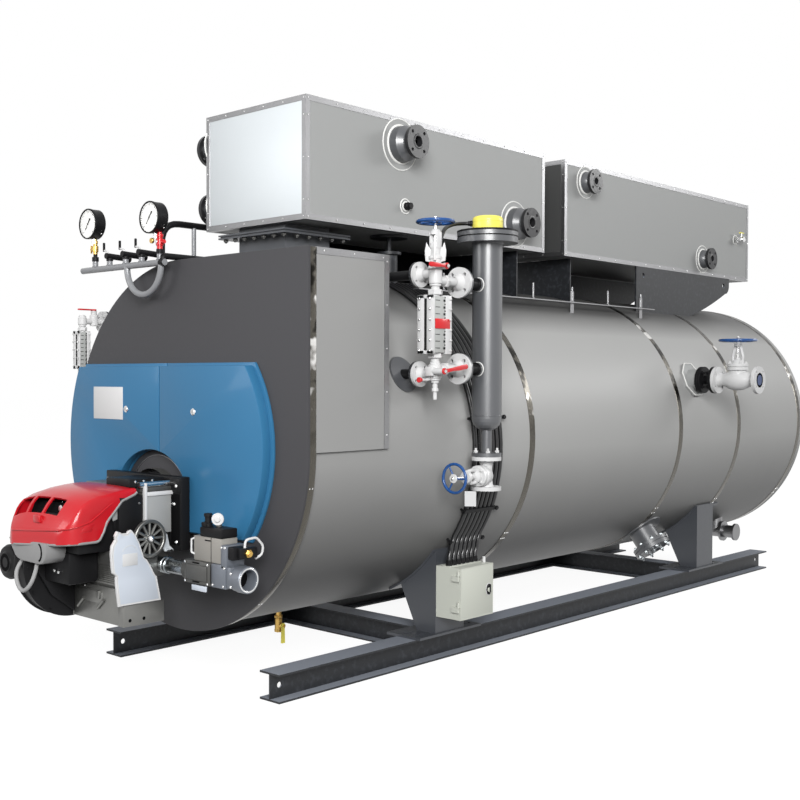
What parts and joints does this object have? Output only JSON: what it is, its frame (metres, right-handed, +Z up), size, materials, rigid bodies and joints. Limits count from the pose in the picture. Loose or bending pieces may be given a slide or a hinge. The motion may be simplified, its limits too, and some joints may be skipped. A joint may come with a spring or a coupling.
{
  "type": "industrial boiler",
  "caption": "Horizontal fire-tube steam boiler on a beam skid, with a gas burner at the front, economizers on top, level column, valves and gauges.",
  "frame": {"origin": "centre of the footprint of the whole boiler, on the floor under the skid", "axes": "+Z up, -Y towards the burner, +X towards the level column and feed valve"},
  "size_m": [2.236, 5.795, 2.703],
  "materials": {
    "jacket": "satin grey coated sheet",
    "skid_paint": "satin dark grey enamel",
    "plate_paint": "matt dark grey enamel",
    "stainless": "bright stainless strip",
    "panel": "silver grey coated sheet",
    "trim": "mill finish aluminium angle",
    "blue_paint": "satin blue enamel",
    "wheel_blue": "gloss blue enamel",
    "hood_red": "gloss red moulding",
    "lever_red": "red dipped lever",
    "yellow": "yellow moulding",
    "brass": "raw brass",
    "white_enamel": "white enamel",
    "beige": "beige powder coat",
    "cast_alu": "die cast aluminium",
    "black_paint": "black enamel"
  },
  "bodies": {
    "boiler": {"blowdown_valve": "white_enamel", "burner_air_box": "cast_alu", "burner_cover": "cast_alu", "burner_fan": "black_paint", "burner_flange": "black_paint", "burner_hood": "hood_red", "burner_housing": "cast_alu", "burner_motor": "black_paint", "cable_rail": "black_paint", "casing_trims": "trim", "conduit_straps": "trim", "conduits": "black_paint", "cross_beams": "skid_paint", "drain_valve": "brass", "drum_shell": "jacket", "economizer_1_casing": "panel", "economizer_1_nozzles": "black_paint", "economizer_2_casing": "panel", "economizer_2_nozzles": "black_paint", "economizer_brackets": "black_paint", "economizer_trims": "trim", "feed_nozzle": "black_paint", "feed_valve": "white_enamel", "flue_duct": "black_paint", "front_casing": "jacket", "front_plate": "plate_paint", "gas_pipe": "cast_alu", "gas_valve_block": "cast_alu", "gauge_manifold": "black_paint", "handhole": "black_paint", "jacket_bands": "stainless", "junction_box": "beige", "level_column": "black_paint", "level_connections_right": "black_paint", "level_gauge_left": "white_enamel", "level_gauge_right": "white_enamel", "plate_band": "stainless", "pressure_gauge_left": "black_paint", "pressure_gauge_right": "black_paint", "probe_cap": "yellow", "rear_cover": "jacket", "rear_outlet": "trim", "saddle_front_left": "skid_paint", "saddle_front_right": "skid_paint", "saddle_rear_left": "skid_paint", "saddle_rear_right": "skid_paint", "skid_beam_left": "skid_paint", "skid_beam_right": "skid_paint", "smokebox_cover_left": "blue_paint", "smokebox_cover_right": "blue_paint", "vent_pipe": "black_paint"},
    "feed_wheel": {"feed_wheel": "wheel_blue"},
    "blowdown_wheel": {"blowdown_wheel": "wheel_blue"},
    "gauge_wheel": {"gauge_wheel": "wheel_blue"},
    "gauge_lever_upper": {"gauge_lever_upper": "lever_red"},
    "gauge_lever_lower": {"gauge_lever_lower": "lever_red"},
    "gauge_lever_left": {"gauge_lever_left": "lever_red"},
    "drain_lever": {"drain_lever": "yellow"},
    "junction_box_door": {"junction_box_door": "beige"}
  },
  "joints": [
    {"name": "feed_wheel_turn", "type": "hinge", "parent": "boiler", "child": "feed_wheel", "pos_m": [0.978, 1.2145, 1.622], "axis": [0, 0, 1], "range_deg": [0, 1080]},
    {"name": "blowdown_wheel_turn", "type": "hinge", "parent": "boiler", "child": "blowdown_wheel", "pos_m": [0.852, -1.3825, 0.932], "axis": [0, -1, 0], "range_deg": [0, 1080]},
    {"name": "gauge_wheel_turn", "type": "hinge", "parent": "boiler", "child": "gauge_wheel", "pos_m": [0.855, -1.5275, 2.08], "axis": [0, 0, 1], "range_deg": [0, 1080]},
    {"name": "gauge_lever_upper_turn", "type": "hinge", "parent": "boiler", "child": "gauge_lever_upper", "pos_m": [0.907, -1.5105, 1.883], "axis": [-1, 0, 0], "range_deg": [0, 90]},
    {"name": "gauge_lever_lower_turn", "type": "hinge", "parent": "boiler", "child": "gauge_lever_lower", "pos_m": [0.937, -1.5625, 1.418], "axis": [-1, 0, 0], "range_deg": [0, 90]},
    {"name": "gauge_lever_left_turn", "type": "hinge", "parent": "boiler", "child": "gauge_lever_left", "pos_m": [-1.061, -2.0325, 1.742], "axis": [0, 0, -1], "range_deg": [0, 90]},
    {"name": "drain_lever_turn", "type": "hinge", "parent": "boiler", "child": "drain_lever", "pos_m": [-0.07, -1.5905, 0.15], "axis": [1, 0, 0], "range_deg": [0, 90]},
    {"name": "junction_box_door_swing", "type": "hinge", "parent": "boiler", "child": "junction_box_door", "pos_m": [0.69625, -1.1555, 0.3475], "axis": [0, 0, -1], "range_deg": [0, 110]}
  ]
}
